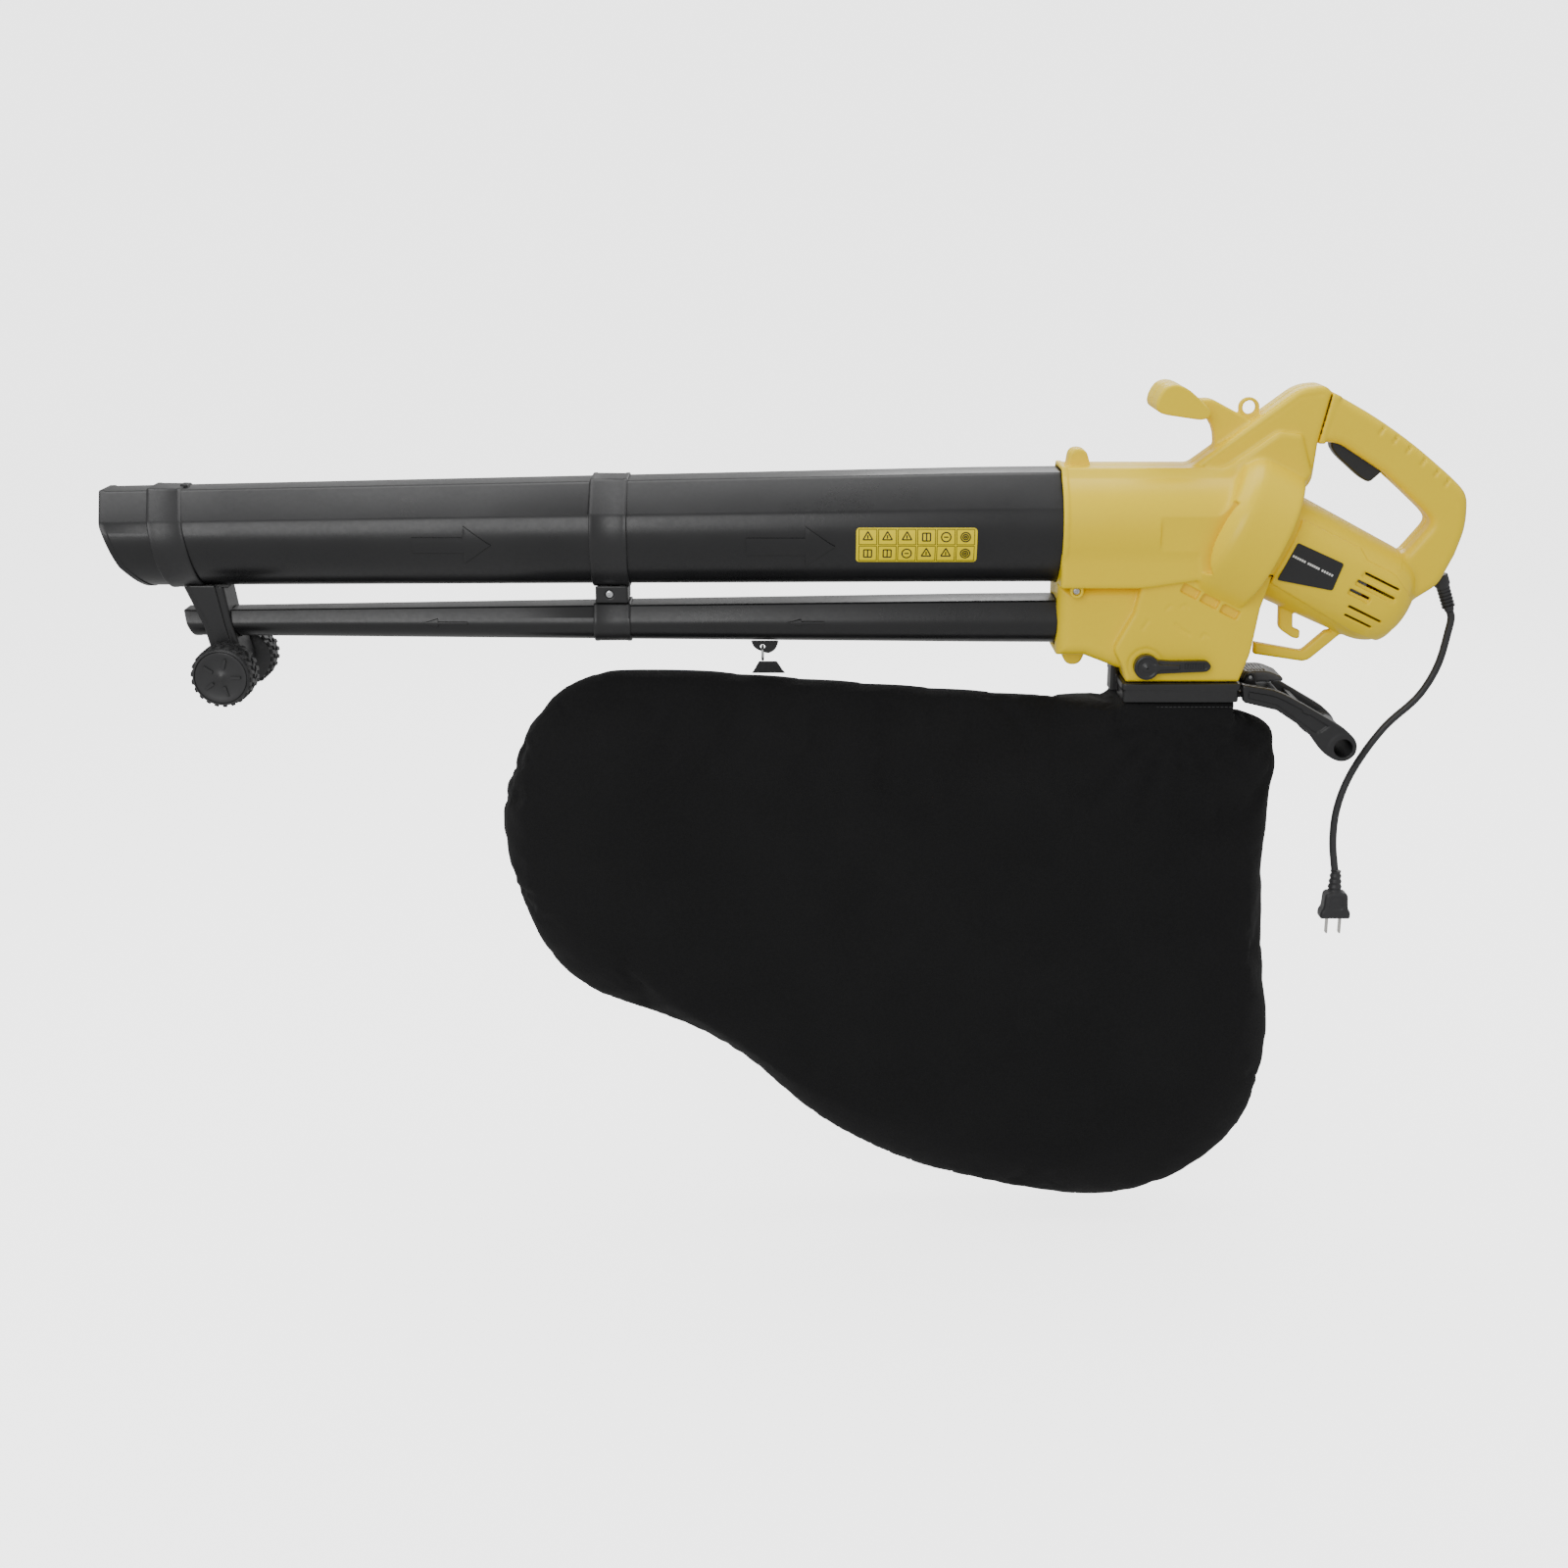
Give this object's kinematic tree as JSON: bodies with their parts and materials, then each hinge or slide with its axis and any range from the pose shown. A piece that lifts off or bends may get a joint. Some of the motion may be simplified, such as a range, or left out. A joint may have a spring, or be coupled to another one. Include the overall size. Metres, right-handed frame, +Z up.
{
  "type": "garden blower vacuum",
  "caption": "Corded garden blower and vacuum with a suction tube, a slim blower tube, transport wheels, a tilted fan housing, two grips, an air selector and a fabric collecting bag.",
  "frame": {"origin": "centre of the rear grip, on the plane where the housing halves meet", "axes": "+X towards the free end of the rear grip, so the nozzles point to -X; +Z up; Y across the machine, Y=0 on the split plane"},
  "size_m": [1.25, 0.15, 0.8109],
  "materials": {
    "yellow_plastic": "satin",
    "tube_plastic": "satin",
    "black_plastic": "fine matte grain",
    "latch_plastic": "satin",
    "plate_black": "satin",
    "label_yellow": "satin film",
    "wheel_plastic": "matte",
    "steel": "bright",
    "chrome_steel": "polished",
    "motor_iron": "raw",
    "copper": "bright",
    "impeller_plastic": "matte",
    "bag_fabric": "fine woven polyester",
    "webbing": "woven tape",
    "cord_rubber": "satin"
  },
  "bodies": {
    "root": {"front_housing_near": "yellow_plastic", "front_housing_far": "yellow_plastic", "rear_housing_near": "yellow_plastic", "rear_housing_far": "yellow_plastic", "name_plate": "plate_black", "info_label": "label_yellow", "housing_screw_1": "steel", "housing_screw_2": "steel", "housing_screw_3": "steel", "collar_screw": "steel", "wheel_axle": "steel", "front_bearing": "steel", "rear_bearing": "steel", "trigger_pin": "steel", "trigger_spring": "steel", "latch_pin": "steel", "latch_spring": "steel", "plug_blade_left": "steel", "plug_blade_right": "steel", "suction_tube_upper": "tube_plastic", "suction_tube_lower": "tube_plastic", "blower_tube_upper": "tube_plastic", "blower_tube_lower": "tube_plastic", "suction_collar": "tube_plastic", "blower_collar": "tube_plastic", "wheel_bracket": "tube_plastic", "stator": "motor_iron", "brush_near": "black_plastic", "brush_far": "black_plastic", "switch_module": "black_plastic", "bag_frame": "black_plastic", "bag_handle": "black_plastic", "bag_lug": "black_plastic", "bag": "bag_fabric", "bag_tab": "webbing", "bag_ring": "chrome_steel", "strain_relief": "cord_rubber", "cord": "cord_rubber", "plug_body": "cord_rubber"},
    "fan": {"impeller": "impeller_plastic", "impeller_nut": "steel", "motor_shaft": "steel", "armature": "motor_iron", "commutator": "copper", "cooling_fan": "impeller_plastic"},
    "trigger_lever": {"trigger": "black_plastic"},
    "selector": {"selector_knob": "black_plastic", "selector_shaft": "steel", "diverter_flap": "black_plastic"},
    "near_wheel": {"wheel_near": "wheel_plastic", "hub_cap_near": "wheel_plastic"},
    "far_wheel": {"wheel_far": "wheel_plastic", "hub_cap_far": "wheel_plastic"},
    "latch": {"latch_button": "latch_plastic"}
  },
  "joints": [
    {"name": "fan_spin", "type": "hinge", "parent": "root", "child": "fan", "pos_m": [-0.1247, 0, -0.0552], "axis": [0.8988, 0, -0.4384], "continuous": true},
    {"name": "trigger_pull", "type": "hinge", "parent": "root", "child": "trigger_lever", "pos_m": [-0.047, 0, 0.035], "axis": [0, -1, 0], "range_deg": [0, 6], "stiffness_Nm_per_rad": 2, "springref_deg": -2.86, "deforming": ["trigger_spring"]},
    {"name": "selector_turn", "type": "hinge", "parent": "root", "child": "selector", "pos_m": [-0.22, 0, -0.1728], "axis": [0, -1, 0], "range_deg": [0, 75]},
    {"name": "near_wheel_spin", "type": "hinge", "parent": "root", "child": "near_wheel", "pos_m": [-1.067, -0.0425, -0.1815], "axis": [0, 1, 0], "continuous": true},
    {"name": "far_wheel_spin", "type": "hinge", "parent": "root", "child": "far_wheel", "pos_m": [-1.067, 0.0425, -0.1815], "axis": [0, 1, 0], "continuous": true},
    {"name": "latch_press", "type": "hinge", "parent": "root", "child": "latch", "pos_m": [-0.118, 0, -0.189], "axis": [0, 1, 0], "range_deg": [0, 5], "stiffness_Nm_per_rad": 1.5, "springref_deg": -2.86, "deforming": ["latch_spring"]}
  ]
}
